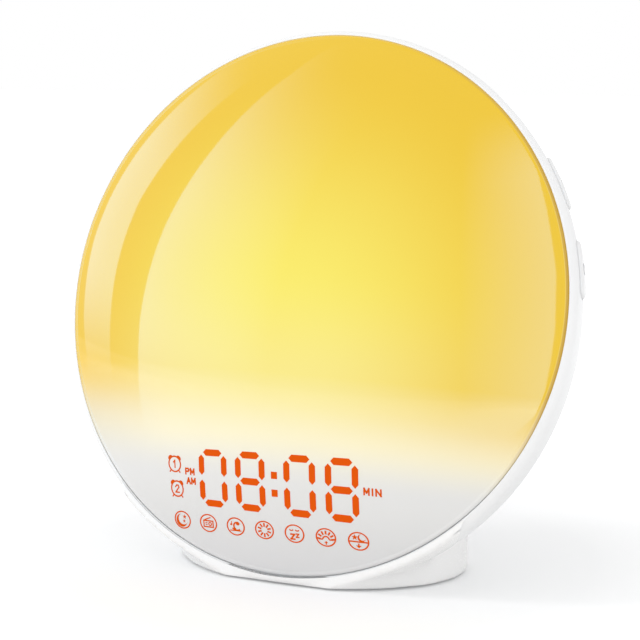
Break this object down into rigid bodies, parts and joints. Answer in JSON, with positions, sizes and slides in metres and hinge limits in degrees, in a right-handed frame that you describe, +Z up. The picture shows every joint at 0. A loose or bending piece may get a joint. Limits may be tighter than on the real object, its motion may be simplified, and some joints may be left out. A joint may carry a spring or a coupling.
{
  "type": "sunrise alarm clock",
  "caption": "Round wake-up light clock with a domed glowing front, digits low on the face, white rear housing with side keys, and an oval tabletop foot",
  "frame": {"origin": "on the table, in the middle of the clock's width and depth", "axes": "+Z up, the face looks along -Y and a little upwards, +X to the right seen from the front"},
  "size_m": [0.1754, 0.0828, 0.1689],
  "materials": {
    "diffuser": "milky moulded light diffuser with a polished face, glowing amber",
    "housing": "white moulded plastic with a satin gloss",
    "base": "white moulded plastic with a satin gloss",
    "base_plate": "white fine-textured plastic",
    "keys": "light grey to white moulded plastic with printed symbols",
    "feet": "soft dark grey rubber",
    "screws": "zinc plated steel",
    "weight": "raw steel ballast",
    "reflector": "high white light reflecting plastic",
    "shield": "white plastic with separate light wells",
    "display_film": "thin orange light filter film",
    "circuit_board": "green solder mask on glass fibre board",
    "leds": "small lamps with yellow phosphor",
    "lead_wire": "red insulated lead",
    "ribbon": "amber film flex with copper tracks",
    "black_plastic": "black moulded plastic",
    "inner_plastic": "off-white moulded plastic",
    "metal_can": "tinned sheet metal",
    "brass_contact": "plated brass contact pin",
    "foam": "black foam and soft rubber",
    "speaker_frame": "black coated pressed steel",
    "magnet": "dark ferrite magnet and steel pole",
    "speaker_cone": "black paper cone"
  },
  "bodies": {
    "case": {"antenna_grommet": "feet", "audio_amplifier": "black_plastic", "base_plate": "base_plate", "base_screws": "screws", "base_weight": "weight", "battery_cover": "housing", "battery_holder": "black_plastic", "capacitors": "metal_can", "clock_chip": "black_plastic", "coin_cell": "metal_can", "dc_jack_body": "black_plastic", "dc_jack_pin": "brass_contact", "display_board": "circuit_board", "display_film": "display_film", "display_leds": "leds", "display_ribbon": "ribbon", "display_screws": "screws", "display_shield": "shield", "front_diffuser": "diffuser", "housing_screws": "screws", "key_carrier_left": "inner_plastic", "key_carrier_right": "inner_plastic", "key_carrier_top": "inner_plastic", "key_flex_strips": "ribbon", "key_switches": "black_plastic", "lamp_board": "circuit_board", "lamp_lead": "lead_wire", "lamp_leds": "leds", "main_board": "circuit_board", "main_board_screws": "screws", "radio_module": "metal_can", "rear_housing": "housing", "reflector_dish": "reflector", "reset_switch": "black_plastic", "ribbon_connectors": "black_plastic", "rubber_feet": "feet", "speaker_clamp": "speaker_frame", "speaker_cone": "speaker_cone", "speaker_frame": "speaker_frame", "speaker_gasket": "foam", "speaker_lead": "lead_wire", "speaker_magnet": "magnet", "speaker_screws": "screws", "speaker_surround": "foam", "stand_base": "base", "stand_screws": "screws", "usb_socket_shell": "metal_can", "usb_socket_tongue": "black_plastic"},
    "key_left_lower": {"key_left_lower": "keys", "plunger_left_lower": "inner_plastic"},
    "key_left_upper": {"key_left_upper": "keys", "plunger_left_upper": "inner_plastic"},
    "key_right_lower": {"key_right_lower": "keys", "plunger_right_lower": "inner_plastic"},
    "key_right_upper": {"key_right_upper": "keys", "plunger_right_upper": "inner_plastic"},
    "reset_button": {"reset_button": "inner_plastic"},
    "snooze_key": {"snooze_key": "keys", "plunger_snooze": "inner_plastic"}
  },
  "joints": [
    {"name": "key_right_lower_press", "type": "slide", "parent": "case", "child": "key_right_lower", "axis": [-0.9816, -0.0472, -0.1849], "range_m": [0, 0.0006], "stiffness_N_per_m": 1500, "springref_m": -0.0002},
    {"name": "key_right_upper_press", "type": "slide", "parent": "case", "child": "key_right_upper", "axis": [-0.8729, -0.1207, -0.4727], "range_m": [0, 0.0006], "stiffness_N_per_m": 1500, "springref_m": -0.0002},
    {"name": "key_left_lower_press", "type": "slide", "parent": "case", "child": "key_left_lower", "axis": [0.9816, -0.0472, -0.1849], "range_m": [0, 0.0006], "stiffness_N_per_m": 1500, "springref_m": -0.0002},
    {"name": "key_left_upper_press", "type": "slide", "parent": "case", "child": "key_left_upper", "axis": [0.8729, -0.1207, -0.4727], "range_m": [0, 0.0006], "stiffness_N_per_m": 1500, "springref_m": -0.0002},
    {"name": "snooze_key_press", "type": "slide", "parent": "case", "child": "snooze_key", "axis": [0, -0.2475, -0.9689], "range_m": [0, 0.0006], "stiffness_N_per_m": 1500, "springref_m": -0.0002},
    {"name": "reset_button_press", "type": "slide", "parent": "case", "child": "reset_button", "axis": [0, -0.9689, 0.2475], "range_m": [0, 0.0006], "stiffness_N_per_m": 1200, "springref_m": -0.0002}
  ]
}
